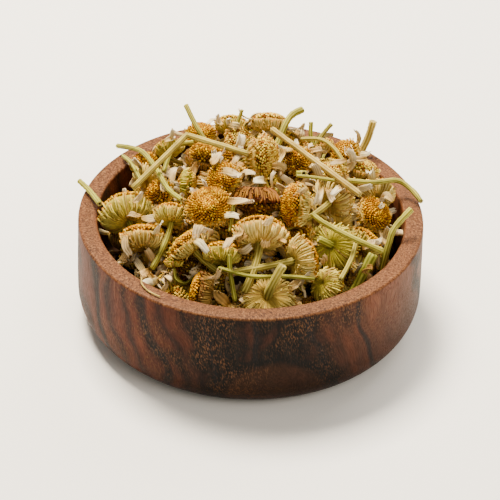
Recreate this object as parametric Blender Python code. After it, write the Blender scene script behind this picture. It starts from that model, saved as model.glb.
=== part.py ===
"""Shallow turned hardwood bowl heaped with dried chamomile flower heads and cut stems.

Metres, +Z up. The origin is the centre of the bowl's flat foot, and the heap is seen from the -Y side.
"""

import math
import random
from dataclasses import dataclass

import bpy
import bmesh
from mathutils import Vector
from mathutils.bvhtree import BVHTree

MM = 0.001
GAP = 0.3 * MM

# Bowl, a three-inch pinch bowl turned from one block
RIM_RADIUS = 38.0 * MM
RIM_WIDTH = 4.2 * MM
BOWL_HEIGHT = 25.0 * MM
FLOOR_THICKNESS = 4.6 * MM
BELLY = 0.4 * MM
FOOT_ROUNDING = 7.6 * MM
INNER_ROUNDING = 6.0 * MM
EASED_EDGE = 0.6 * MM
BOWL_SEGMENTS = 44

# Heap: its highest point lies a little behind the bowl's axis, and it falls away on all sides
HEAP_TOP = 36.5 * MM
HEAP_CENTRE_Y = 6.0 * MM
HEAP_FALL = 16.5
CORE_DEPTH = 10.0 * MM
CORE_EDGE = 12.5 * MM
CORE_GAP = 0.5 * MM
CORE_SEGMENTS = 28
CORE_SHARES = (1.0, 0.86, 0.72, 0.58, 0.44, 0.30, 0.15)
CORE_CRUMBS = 0.9 * MM
BED_HEADS = 64
BED_RADII = (3.1 * MM, 4.2 * MM)
BED_SEGMENTS = 8
BED_SPACING = 5.7 * MM
BED_MARGIN = 1.25
BED_SINK = 1.2
BED_TOP = 2.5 * MM
BED_LEAN = 0.5
BED_SEED = 7
GOLDEN_ANGLE = math.radians(137.508)
SETTLE_STEP = 0.2 * MM

# Flower heads: each ring of a profile is radius, height and relief, as shares of the head's radius
RIB_RELIEF = 0.065
LARGE_RADIUS = 4.4 * MM
LARGE_SEGMENTS = 16
SMALL_SEGMENTS = 12
DOME_RISE = 1.3
BUD_SHARE = 0.8
HEAD_PROFILE = (
    (0.00, -0.44, 0.0),
    (0.30, -0.50, 0.4),
    (0.88, -0.30, 1.0),
    (1.00, 0.08, 1.0),
    (0.84, 0.36, 1.2),
    (0.44, 0.54, 1.0),
    (0.00, 0.58, 0.0),
)
SEAT_TOP = 0.13
SEAT_PROFILE = (
    (0.00, -0.44, 0.0),
    (0.30, -0.50, 0.4),
    (0.88, -0.30, 1.0),
    (1.00, 0.04, 1.0),
    (0.92, SEAT_TOP, 0.0),
    (0.00, SEAT_TOP, 0.0),
)
DISC_PROFILE = (
    (0.00, 0.00, 0.0),
    (0.86, 0.00, 0.0),
    (0.94, 0.12, 0.8),
    (0.76, 0.30, 1.2),
    (0.42, 0.42, 1.2),
    (0.00, 0.46, 0.0),
)
BUD_PROFILE = (
    (0.00, -1.00, 0.0),
    (0.45, -0.95, 0.0),
    (0.86, -0.72, 1.0),
    (1.00, -0.15, 1.2),
    (0.94, 0.45, 1.0),
    (0.62, 0.74, 0.6),
    (0.00, 0.85, 0.0),
)
BED_PROFILE = (
    (0.00, -1.80, 0.0),
    (0.42, -1.70, 0.0),
    (0.98, -0.05, 1.2),
    (0.66, 0.42, 1.4),
    (0.00, 0.60, 0.0),
)
# Petals and stems that grow on a head, in shares of its radius or of their own length
PETAL_THICKNESS = 0.66 * MM
PETAL_STEPS = 2
PETAL_TRIES = 24
PETAL_ROOT_REACH = 0.74
PETAL_ROOT_DEPTH = 0.10
PETAL_WIDTH = 0.85
PETAL_END_HALF = 0.30
PETAL_MIDDLE_HALF = 0.22
PETAL_LENGTHS = (0.9, 1.3)
PETAL_DROOPS = (math.radians(-80), math.radians(10))
PETAL_CURLS = (math.radians(-45), math.radians(45))
STEM_ROOT = 0.3
STEM_LEAVE = 0.45
STEM_SIDES = 5
STEM_STEPS = 4
STEM_TRIES = 12
STEM_BEND_STEP = 0.8 * MM
LOOSE_STEM_SIDES = 6
LOOSE_STEM_STEPS = 3

WOOD = (0.23, 0.10, 0.06)
DRIED_CREAM = (0.62, 0.49, 0.22)
DRIED_GREEN = (0.42, 0.42, 0.14)
DRIED_BROWN = (0.25, 0.13, 0.04)
DISC_ORANGE = (0.74, 0.30, 0.02)
STEM_GREEN = (0.33, 0.34, 0.09)
STEM_TAN = (0.50, 0.36, 0.16)


@dataclass
class Head:
    """One flower head: centre and size in mm, which way its disc faces in degrees, and what grows on it."""

    x: float
    y: float
    z: float
    turn: float
    tilt: float
    size: float
    kind: str = "ribbed"
    petals: int = 2
    stem: tuple = ()
    girth: float = 1.4
    colour: tuple = DRIED_CREAM


# Left, front, right and back of the heap, then its top; a stem's numbers lead from the head to its cut end
HEADS = (
    Head(4, -26, 21, 90, -60, 11.0, petals=1, stem=(3, -1, 10), girth=2.0),
    Head(-10, -24, 21, 178, 8, 8.5, "disc", petals=1, colour=DRIED_BROWN),
    Head(16.5, -21.5, 22, 30, -40, 7.5, petals=2, colour=DRIED_GREEN),
    Head(-12, -16, 21, 300, 65, 6.5, "dome", petals=1, colour=DRIED_BROWN),
    Head(-17, -7, 29, 85, 30, 7.5, petals=2, stem=(-4, -9, -8), girth=1.3, colour=DRIED_GREEN),
    Head(-6, -18, 27, 90, 35, 7.5, petals=1, colour=DRIED_BROWN),
    Head(18, -13, 26, 60, -45, 10.0, petals=0, stem=(-3.5, -2, 3.5), girth=1.7, colour=DRIED_GREEN),
    Head(25, -8, 24, 45, 30, 7.5, petals=2, colour=DRIED_GREEN),
    Head(-23, -9, 24, 90, 40, 9.5, "disc", petals=4),
    Head(-27, -1.5, 25, 100, 15, 11.5, petals=2, stem=(9, -6, -1), girth=1.5, colour=DRIED_GREEN),
    Head(11, -19, 27, 30, -5, 9.0, petals=1, stem=(-14, -4, -1), girth=1.6),
    Head(27, 1, 25, 325, 50, 8.0, "disc", petals=5),
    Head(28, 8, 26, 90, 10, 7.5, petals=2),
    Head(25, 16, 27, 45, 70, 7.0, petals=5),
    Head(21, 17, 30.6, 220, 60, 6.5, "dome", petals=3),
    Head(15, 21, 30, 90, 60, 6.5, petals=5),
    Head(8, 25, 29, 60, 50, 8.0, petals=3),
    Head(0, 27, 28, 110, 40, 8.5, petals=2, colour=DRIED_GREEN),
    Head(-5, 24, 32.8, 90, 40, 7.0, petals=3, colour=DRIED_GREEN),
    Head(-12, 22, 31, 255, 80, 7.0, "disc", petals=2),
    Head(-19, 18, 30, 105, 30, 6.0, "bud", petals=2, colour=DRIED_GREEN),
    Head(-24, 15, 27, 290, 70, 6.5, "dome", petals=4),
    Head(-23, 9, 28, 70, 10, 6.5, petals=2),
    Head(-20, 3, 28, 235, 50, 6.0, "dome", petals=3),
    Head(-14, 1, 32, 355, 0, 6.0, "bud", petals=0, colour=DRIED_GREEN),
    Head(-9.5, 11, 32, 60, 80, 9.5, "dome", petals=2, colour=DRIED_BROWN),
    Head(-3, 18, 32, 315, 60, 7.0, petals=6),
    Head(3.5, 22, 35, 90, 50, 7.5, petals=3),
    Head(10, 10, 33, 255, 60, 6.8, "disc", petals=3),
    Head(17, 10, 30, 90, 85, 8.0, petals=5),
    Head(-13, -16, 28, 145, 40, 8.0, petals=2, stem=(7, -5, -4), girth=1.5),
    Head(2, -16, 31, 90, 28, 10.5, "disc", petals=4, stem=(-3, -10, -8), girth=1.8),
    Head(18, 0, 30, 60, 5, 9.0, petals=6, stem=(-10, -9, -2), girth=1.5),
    Head(-9, -9, 32.3, 255, 72, 10.0, "disc", petals=3),
    Head(0.9, -5, 32.5, 270, -55, 10.0, petals=2, colour=DRIED_BROWN),
    Head(9.6, -7.5, 33, 195, 15, 9.0, "disc", petals=2),
    Head(-6, 0, 34, 235, 55, 7.6, "disc", petals=5),
    Head(2.3, 7, 35, 335, 25, 10.0, petals=2),
)


@dataclass
class Stem:
    """One loose cut stem: its thickness and the points that it passes through, in mm."""

    girth: float
    points: tuple
    colour: tuple = STEM_GREEN
    kinked: bool = False


# Over the left rim, over the right rim, across the left, kinked, three that stand up, across and at the right
STEMS = (
    Stem(1.3, ((-38.5, 8.6, 26.8), (-35.9, 5.4, 26.3), (-33.1, -1.7, 27.8))),
    Stem(1.2, ((37.5, 3.5, 27.3), (35.7, 7.5, 27.5), (32.3, 9, 29), (26.7, 5, 31), (21, 4, 32))),
    Stem(1.2, (
        (-31, 23.7, 26.6), (-25.3, 15.8, 30.6), (-21.5, 6.4, 32.6), (-18.2, -2.1, 32.6), (-15, -7, 33.1),
    )),
    Stem(1.4, ((-25.8, -1.9, 32.4), (-14.6, 10, 38.8), (-1, 4, 38.2)), STEM_TAN, kinked=True),
    Stem(1.2, ((-10.4, 17.6, 32), (-12.9, 19.8, 35), (-15.4, 23.8, 38))),
    Stem(1.6, ((4.5, 14, 31), (7.7, 20, 37.2), (11, 22.3, 38.7))),
    Stem(1.5, ((4.1, 13.4, 38.8), (13.7, 4, 36.8), (23.4, -5, 34.4)), STEM_TAN),
    Stem(1.8, ((24.8, 24.8, 26), (26.3, 25.5, 29.6), (27.3, 26.2, 33.6)), STEM_TAN),
    Stem(1.3, ((13, -11, 33.2), (15.5, -13, 32.4), (21.2, -15.8, 30.8), (28.2, -16.4, 27.8))),
    Stem(1.5, ((28.7, -11.3, 19), (29.9, -9.6, 24.5), (31.1, -8, 28), (34.7, -5, 31))),
    Stem(2.4, ((21.2, -20.8, 16.5), (26.4, -15, 26))),
)

in_place = {}


def clear_scene():
    """Removes what is already in the file."""
    for item in list(bpy.data.objects):
        bpy.data.objects.remove(item)


def material(name, colour, roughness):
    """Plain finish of one colour."""
    finish = bpy.data.materials.new(name)
    finish.use_nodes = True
    shader = finish.node_tree.nodes["Principled BSDF"]
    shader.inputs["Base Color"].default_value = (*colour, 1.0)
    shader.inputs["Roughness"].default_value = roughness
    shader.inputs["Metallic"].default_value = 0.0
    finish.diffuse_color = (*colour, 1.0)
    return finish


def make_object(name, rings, start=None, end=None):
    """Closed body through rings of points in turn, each end drawn to a point or closed by a flat face."""
    sides = len(rings[0])
    points = [point for ring in rings for point in ring]
    faces = []
    for i in range(len(rings) - 1):
        for j in range(sides):
            k = (j + 1) % sides
            faces.append((i * sides + j, i * sides + k, (i + 1) * sides + k, (i + 1) * sides + j))
    for tip, ring in ((start, 0), (end, len(rings) - 1)):
        first = ring * sides
        if tip is None:
            faces.append(tuple(range(first, first + sides)))
            continue
        points.append(tip)
        faces.extend((first + j, first + (j + 1) % sides, len(points) - 1) for j in range(sides))
    mesh = bpy.data.meshes.new(name)
    mesh.from_pydata(points, [], faces)
    body = bmesh.new()
    body.from_mesh(mesh)
    bmesh.ops.recalc_face_normals(body, faces=body.faces)
    bmesh.ops.triangulate(body, faces=body.faces)
    body.to_mesh(mesh)
    body.free()
    thing = bpy.data.objects.new(name, mesh)
    bpy.context.scene.collection.objects.link(thing)
    return thing


def keep_main_body(mesh):
    """Fills any hollow that a union has sealed and drops any loose scrap, by keeping the largest shell."""
    body = bmesh.new()
    body.from_mesh(mesh)
    waiting = set(body.verts)
    shells = []
    while waiting:
        shell = set()
        found = [waiting.pop()]
        while found:
            vertex = found.pop()
            shell.add(vertex)
            near = [edge.other_vert(vertex) for edge in vertex.link_edges]
            new = [other for other in near if other in waiting]
            waiting.difference_update(new)
            found.extend(new)
        shells.append(shell)
    main_shell = max(shells, key=len)
    loose = [vertex for vertex in body.verts if vertex not in main_shell]
    bmesh.ops.delete(body, geom=loose, context="VERTS")
    body.to_mesh(mesh)
    body.free()


def fuse(base, parts):
    """Joins the parts to the base as one closed body."""
    if not parts:
        return base
    group = bpy.data.collections.new("joined parts")
    bpy.context.scene.collection.children.link(group)
    for part in parts:
        group.objects.link(part)
        bpy.context.scene.collection.objects.unlink(part)
    union = base.modifiers.new("join", "BOOLEAN")
    union.operation = "UNION"
    union.operand_type = "COLLECTION"
    union.solver = "MANIFOLD"
    union.collection = group
    bpy.context.view_layer.update()
    joined = base.evaluated_get(bpy.context.evaluated_depsgraph_get())
    mesh = bpy.data.meshes.new_from_object(joined)
    keep_main_body(mesh)
    base.modifiers.clear()
    base.data = mesh
    for part in parts:
        bpy.data.objects.remove(part)
    bpy.data.collections.remove(group)
    return base


def facing(turn, tilt):
    """Direction at a turn about +Z from +X and a tilt above level, both in degrees."""
    turn = math.radians(turn)
    tilt = math.radians(tilt)
    return Vector((math.cos(tilt) * math.cos(turn), math.cos(tilt) * math.sin(turn), math.sin(tilt)))


def rounded(radius, height, size, first, last, steps=4):
    """Points of a rounding about a centre at this radius and height, between two angles in degrees."""
    points = []
    for i in range(steps + 1):
        angle = math.radians(first + (last - first) * i / steps)
        points.append((radius + size * math.cos(angle), height + size * math.sin(angle)))
    return points


def bowl_interior(gap):
    """Radius and height of the bowl's inner wall where it meets the floor, drawn in by a gap."""
    wall = RIM_RADIUS - RIM_WIDTH - gap
    floor = FLOOR_THICKNESS + gap
    return rounded(wall - INNER_ROUNDING, floor + INNER_ROUNDING, INNER_ROUNDING, -90, 0)


def make_bowl():
    """Nearly upright wall, flat rim with eased edges, rounded foot and inner corner."""
    belly = RIM_RADIUS + BELLY
    outside = rounded(belly - FOOT_ROUNDING, FOOT_ROUNDING, FOOT_ROUNDING, -90, 0)
    outside.extend(rounded(RIM_RADIUS - EASED_EDGE, BOWL_HEIGHT - EASED_EDGE, EASED_EDGE, 0, 90, 2))
    inner_edge = RIM_RADIUS - RIM_WIDTH + EASED_EDGE
    outside.extend(rounded(inner_edge, BOWL_HEIGHT - EASED_EDGE, EASED_EDGE, 90, 180, 2))
    profile = outside + list(reversed(bowl_interior(0.0)))
    rings = []
    for radius, height in profile:
        angles = [2 * math.pi * j / BOWL_SEGMENTS for j in range(BOWL_SEGMENTS)]
        rings.append([Vector((radius * math.cos(a), radius * math.sin(a), height)) for a in angles])
    bowl = make_object("bowl", rings, Vector((0, 0, 0)), Vector((0, 0, FLOOR_THICKNESS)))
    bowl.data.materials.append(material("turned wood", WOOD, 0.45))
    bowl.data.shade_smooth()
    bowl.data.set_sharp_from_angle(angle=math.radians(40))
    return bowl


def heap_height(x, y):
    """Height at which the middles of the top heads lie."""
    return HEAP_TOP - HEAP_FALL * (x * x + (y - HEAP_CENTRE_Y) ** 2)


def core_height(x, y):
    """Height of the packed core under the heads."""
    return max(heap_height(x, y) - CORE_DEPTH, CORE_EDGE)


def relief_body(name, profile, radius, segments, lift=0.0, rise=1.0):
    """Body of a profile whose florets stand out in turn, as ribs below the rim and as grains above it."""
    rings = []
    heights = [radius * height * (rise if height > 0 else 1.0) + lift for share, height, relief in profile]
    for i, (share, height, relief) in enumerate(profile[1:-1], 1):
        ring = []
        for j in range(segments):
            grain = i if height > SEAT_TOP else 0
            raised = RIB_RELIEF * relief * (1 if (j + grain) % 2 else -1)
            angle = 2 * math.pi * j / segments
            reach = radius * (share + raised)
            ring.append(Vector((reach * math.cos(angle), reach * math.sin(angle), heights[i])))
        rings.append(ring)
    return make_object(name, rings, Vector((0, 0, heights[0])), Vector((0, 0, heights[-1])))


def petal_on(name, radius, angle, droop, curl, length, width):
    """Dried ray petal: a thin bent blade whose root is sunk in the head's rim."""
    outward = Vector((math.cos(angle), math.sin(angle), 0.0))
    across = Vector((-math.sin(angle), math.cos(angle), 0.0))
    point = outward * radius * PETAL_ROOT_REACH - Vector((0, 0, radius * PETAL_ROOT_DEPTH))
    rings = []
    for i in range(PETAL_STEPS + 1):
        share = i / PETAL_STEPS
        bend = droop + curl * share
        along = outward * math.cos(bend) + Vector((0, 0, math.sin(bend)))
        up = Vector((0, 0, math.cos(bend))) - outward * math.sin(bend)
        half = width * (PETAL_END_HALF + PETAL_MIDDLE_HALF * math.sin(math.pi * share))
        side = across * half
        thick = up * PETAL_THICKNESS / 2
        rings.append([point - side - thick, point + side - thick, point + side + thick, point - side + thick])
        point = point + along * length / PETAL_STEPS
    return make_object(name, rings)


def tube(name, points, radius, sides=STEM_SIDES):
    """Round stem through the points, with flat cut ends."""
    rings = []
    across = None
    for i, point in enumerate(points):
        along = (points[min(i + 1, len(points) - 1)] - points[max(i - 1, 0)]).normalized()
        if across is None:
            across = along.orthogonal().normalized()
        across = (across - along * across.dot(along)).normalized()
        side = along.cross(across)
        ring = []
        for j in range(sides):
            angle = 2 * math.pi * j / sides
            ring.append(point + (across * math.cos(angle) + side * math.sin(angle)) * radius)
        rings.append(ring)
    return make_object(name, rings)


def smooth_path(points, steps):
    """Points on a smooth curve through the given ones."""
    path = []
    last = len(points) - 1
    for i in range(last):
        before = points[max(i - 1, 0)]
        after = points[min(i + 2, last)]
        for k in range(steps):
            t = k / steps
            leave = (points[i + 1] - before) / 2
            arrive = (after - points[i]) / 2
            blend = (2 * t**3 - 3 * t**2 + 1, t**3 - 2 * t**2 + t, 3 * t**2 - 2 * t**3, t**3 - t**2)
            terms = (points[i], leave, points[i + 1], arrive)
            path.append(sum((value * weight for value, weight in zip(terms, blend)), Vector()))
    path.append(points[last])
    return path


def head_stem(name, radius, end, thickness):
    """Stem that leaves the underside straight and bends to its cut end."""
    start = Vector((0, 0, -STEM_ROOT * radius))
    middle = start - Vector((0, 0, STEM_LEAVE * (end - start).length))
    path = []
    for i in range(STEM_STEPS + 1):
        t = i / STEM_STEPS
        path.append(start * (1 - t) ** 2 + middle * 2 * t * (1 - t) + end * t * t)
    return tube(name, path, thickness)


def draw_petal(radius, draw):
    """One petal at a random place round the rim, with its own droop, curl and length."""
    angle = draw.uniform(0, 2 * math.pi)
    droop = draw.uniform(*PETAL_DROOPS)
    curl = draw.uniform(*PETAL_CURLS)
    length = radius * draw.uniform(*PETAL_LENGTHS)
    return petal_on("petal", radius, angle, droop, curl, length, radius * PETAL_WIDTH)


def rib_count(radius):
    """How many sides a head has, two for each of its ribs."""
    return LARGE_SEGMENTS if radius > LARGE_RADIUS else SMALL_SEGMENTS


def head_body(name, kind, radius):
    """Ribbed body of a head, with its florets in relief."""
    segments = rib_count(radius)
    if kind == "disc":
        return relief_body(name, SEAT_PROFILE, radius, segments)
    if kind == "bud":
        return relief_body(name, BUD_PROFILE, radius * BUD_SHARE, segments)
    return relief_body(name, HEAD_PROFILE, radius, segments, rise=DOME_RISE if kind == "dome" else 1.0)


def swelled(pieces):
    """Points and faces of the pieces in world space, grown by the gap that they keep."""
    bpy.context.view_layer.update()
    points = []
    faces = []
    for piece in pieces:
        first = len(points)
        place = piece.matrix_world
        turned = place.to_3x3()
        points.extend(place @ v.co + (turned @ v.normal) * GAP for v in piece.data.vertices)
        faces.extend(tuple(first + i for i in face.vertices) for face in piece.data.polygons)
    return points, faces


def keep(piece):
    """Notes where a placed piece is, so that later ones stay clear of it."""
    bpy.context.view_layer.update()
    points = [piece.matrix_world @ v.co for v in piece.data.vertices]
    faces = [tuple(face.vertices) for face in piece.data.polygons]
    in_place[piece.name] = BVHTree.FromPolygons(points, faces)


def is_clear(points, faces, lift=0.0, own=None):
    """True if the grown piece, moved up by lift, meets nothing in place but the piece that it belongs to."""
    tree = BVHTree.FromPolygons([point + Vector((0, 0, lift)) for point in points], faces)
    return not any(tree.overlap(other) for name, other in in_place.items() if name != own)


def settle(pieces):
    """Lifts a piece until it is clear of those in place."""
    points, faces = swelled(pieces)
    lift = 0.0
    while not is_clear(points, faces, lift):
        lift += SETTLE_STEP
    for piece in pieces:
        piece.location.z += lift
        keep(piece)


def stand_with(part, body):
    """Gives a part the place of the head that it grows on."""
    part.rotation_mode = "QUATERNION"
    part.rotation_quaternion = body.rotation_quaternion
    part.location = body.location
    return part


def make_core():
    """Smaller body of the packed flowers, clear of the bowl's wall and floor, with a crumbled top."""
    draw = random.Random(BED_SEED)
    wall = bowl_interior(CORE_GAP)
    angles = [2 * math.pi * j / CORE_SEGMENTS for j in range(CORE_SEGMENTS)]
    rings = []
    for radius, height in wall:
        rings.append([Vector((radius * math.cos(a), radius * math.sin(a), height)) for a in angles])
    edge = wall[-1][0]
    for share in CORE_SHARES:
        ring = []
        for angle in angles:
            x = edge * share * math.cos(angle)
            y = edge * share * math.sin(angle)
            ring.append(Vector((x, y, core_height(x, y) + draw.uniform(-CORE_CRUMBS, CORE_CRUMBS))))
        rings.append(ring)
    return make_object("flower_bed", rings, Vector((0, 0, wall[0][1])), Vector((0, 0, core_height(0, 0))))


def bed_places(draw):
    """Radius and place of each packed head: one under each stem and top head, and others evenly between."""
    inner_wall = RIM_RADIUS - RIM_WIDTH - GAP
    feet = [min(stem.points, key=lambda point: point[2]) for stem in STEMS]
    feet.extend((head.x, head.y) for head in HEADS)
    spots = [(math.hypot(foot[0], foot[1]) * MM, math.atan2(foot[1], foot[0])) for foot in feet]
    for i in range(BED_HEADS):
        spots.append((inner_wall * math.sqrt((i + 0.5) / BED_HEADS), i * GOLDEN_ANGLE))
    places = []
    for reach, angle in spots:
        radius = draw.uniform(*BED_RADII)
        reach = min(reach, inner_wall - radius * BED_MARGIN)
        places.append((radius, reach * math.cos(angle), reach * math.sin(angle)))
    return places


def make_bed(core):
    """Packed lower layer: heads that rise from the core until they bear the ones above."""
    draw = random.Random(BED_SEED)
    parts = []
    for radius, x, y in bed_places(draw):
        if any(math.hypot(part.location.x - x, part.location.y - y) < BED_SPACING for part in parts):
            continue
        head = relief_body("packed head", BED_PROFILE, radius, BED_SEGMENTS)
        head.location = (x, y, core_height(x, y))
        lean = (draw.uniform(-BED_LEAN, BED_LEAN), draw.uniform(-BED_LEAN, BED_LEAN))
        head.rotation_euler = (*lean, draw.uniform(0, 2 * math.pi))
        points, faces = swelled([head])
        top = CORE_DEPTH - BED_TOP - radius / 2
        lift = -BED_SINK * radius
        while lift < top and not is_clear(points, faces, lift, core.name):
            lift += SETTLE_STEP
        if lift >= top:
            bpy.data.objects.remove(head)
            continue
        while lift < top and is_clear(points, faces, lift + SETTLE_STEP, core.name):
            lift += SETTLE_STEP
        head.location.z += lift
        parts.append(head)
    return fuse(core, parts)


def make_head(number, head):
    """Builds the body of one head, with its disc, and lays it in the heap."""
    radius = head.size * MM / 2
    pieces = [head_body(f"head_{number:02d}", head.kind, radius)]
    pieces[0].data.materials.append(material(f"dried head {number}", head.colour, 0.9))
    if head.kind == "disc":
        seat = SEAT_TOP * radius + GAP
        disc = relief_body(f"disc_{number:02d}", DISC_PROFILE, radius, rib_count(radius), seat)
        disc.data.materials.append(material(f"orange florets {number}", DISC_ORANGE, 0.9))
        pieces.append(disc)
    for piece in pieces:
        piece.rotation_mode = "QUATERNION"
        piece.rotation_quaternion = facing(head.turn, head.tilt).to_track_quat("Z", "Y")
        piece.location = Vector((head.x, head.y, head.z)) * MM
    settle(pieces)


def grow_stem(number, head):
    """Joins a head's own stem to it, bent up as far as its neighbours need."""
    radius = head.size * MM / 2
    body = bpy.data.objects[f"head_{number:02d}"]
    for lift in range(STEM_TRIES):
        end = Vector(head.stem) * MM + Vector((0, 0, lift * STEM_BEND_STEP))
        end = body.rotation_quaternion.inverted() @ end
        stem = stand_with(head_stem("stem", radius, end, head.girth * MM / 2), body)
        if is_clear(*swelled([stem]), own=body.name):
            fuse(body, [stem])
            keep(body)
            return
        bpy.data.objects.remove(stem)


def grow_petals(number, head):
    """Joins dried petals to a head, each where there is room for it."""
    draw = random.Random(number)
    body = bpy.data.objects[f"head_{number:02d}"]
    grown = []
    for _ in range(PETAL_TRIES):
        if len(grown) == head.petals:
            break
        petal = stand_with(draw_petal(head.size * MM / 2, draw), body)
        if is_clear(*swelled([petal]), own=body.name):
            grown.append(petal)
        else:
            bpy.data.objects.remove(petal)
    fuse(body, grown)
    keep(body)


def make_stem(number, stem):
    """Builds one loose stem and lays it on the heap."""
    points = [Vector(point) * MM for point in stem.points]
    middle = points[len(points) // 2]
    path = [point - middle for point in points]
    path = path if stem.kinked else smooth_path(path, LOOSE_STEM_STEPS)
    piece = tube(f"stem_{number:02d}", path, stem.girth * MM / 2, LOOSE_STEM_SIDES)
    piece.data.materials.append(material(f"dried stem {number}", stem.colour, 0.8))
    piece.location = middle
    settle([piece])


def main():
    clear_scene()
    keep(make_bowl())
    bed = make_core()
    bed.data.materials.append(material("packed flowers", DRIED_GREEN, 0.95))
    keep(bed)
    for number, head in enumerate(HEADS, 1):
        make_head(number, head)
    for number, head in enumerate(HEADS, 1):
        if head.stem:
            grow_stem(number, head)
    for number, stem in enumerate(STEMS, 1):
        make_stem(number, stem)
    for number, head in enumerate(HEADS, 1):
        grow_petals(number, head)
    make_bed(bed)


main()
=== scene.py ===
import math

import bpy
import numpy as np
from mathutils import Matrix, Vector


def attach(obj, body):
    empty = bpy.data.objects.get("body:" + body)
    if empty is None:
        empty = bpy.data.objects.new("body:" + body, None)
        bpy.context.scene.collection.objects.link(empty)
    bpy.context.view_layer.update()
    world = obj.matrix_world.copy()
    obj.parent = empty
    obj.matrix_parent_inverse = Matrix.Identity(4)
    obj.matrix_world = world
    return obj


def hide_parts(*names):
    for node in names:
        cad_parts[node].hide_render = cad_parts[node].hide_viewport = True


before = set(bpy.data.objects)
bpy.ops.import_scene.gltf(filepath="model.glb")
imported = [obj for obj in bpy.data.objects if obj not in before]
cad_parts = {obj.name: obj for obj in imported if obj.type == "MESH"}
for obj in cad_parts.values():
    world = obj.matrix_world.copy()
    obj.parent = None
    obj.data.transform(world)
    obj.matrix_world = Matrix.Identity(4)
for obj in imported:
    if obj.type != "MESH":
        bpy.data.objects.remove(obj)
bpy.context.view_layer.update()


# The bowl: one block of dark hardwood turned on a lathe to a nearly upright wall and a flat rim.
# Its edges are eased with a fine abrasive, and the wood is oiled to a satin, so the figure shows.

MM = 0.001
RIM_RADIUS = 38.0
RIM_WIDTH = 4.2
BOWL_HEIGHT = 25.0
FLOOR_THICKNESS = 4.6
BELLY = 0.4
FOOT_ROUNDING = 7.6
INNER_ROUNDING = 6.0
EASED_EDGE = 0.6
BOWL_SEGMENTS = 180
FOOT_RINGS = (10, 20)
INNER_RINGS = (19, 14)
# How far the wall has drawn in from its widest, and at what height
WALL_DRAWN_IN = ((0.02, 11), (0.14, 16), (0.3, 21))


def linear(colour):
    """An sRGB hex colour as linear red, green, blue and alpha."""
    parts = [int(colour[i:i + 2], 16) / 255 for i in (1, 3, 5)]
    return [p / 12.92 if p <= 0.04045 else ((p + 0.055) / 1.055) ** 2.4 for p in parts] + [1.0]


def add_node(tree, kind, inputs, stops=None, **settings):
    """Adds a shader node with its settings, then fills its inputs with values or links."""
    made = tree.nodes.new("ShaderNode" + kind)
    for name, value in settings.items():
        setattr(made, name, value)
    for place, colour in enumerate(stops or ()):
        ramp = made.color_ramp.elements
        stop = ramp[place] if place < 2 else ramp.new(1.0)
        stop.position = colour[0]
        stop.color = linear(colour[1])
    for socket, value in inputs.items():
        if isinstance(value, bpy.types.NodeSocket):
            tree.links.new(value, made.inputs[socket])
        else:
            made.inputs[socket].default_value = value
    return made


def new_finish(name):
    """An empty Principled finish: the material, its node tree and its shader."""
    finish = bpy.data.materials.new(name)
    finish.use_nodes = True
    return finish, finish.node_tree, finish.node_tree.nodes["Principled BSDF"]


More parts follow.
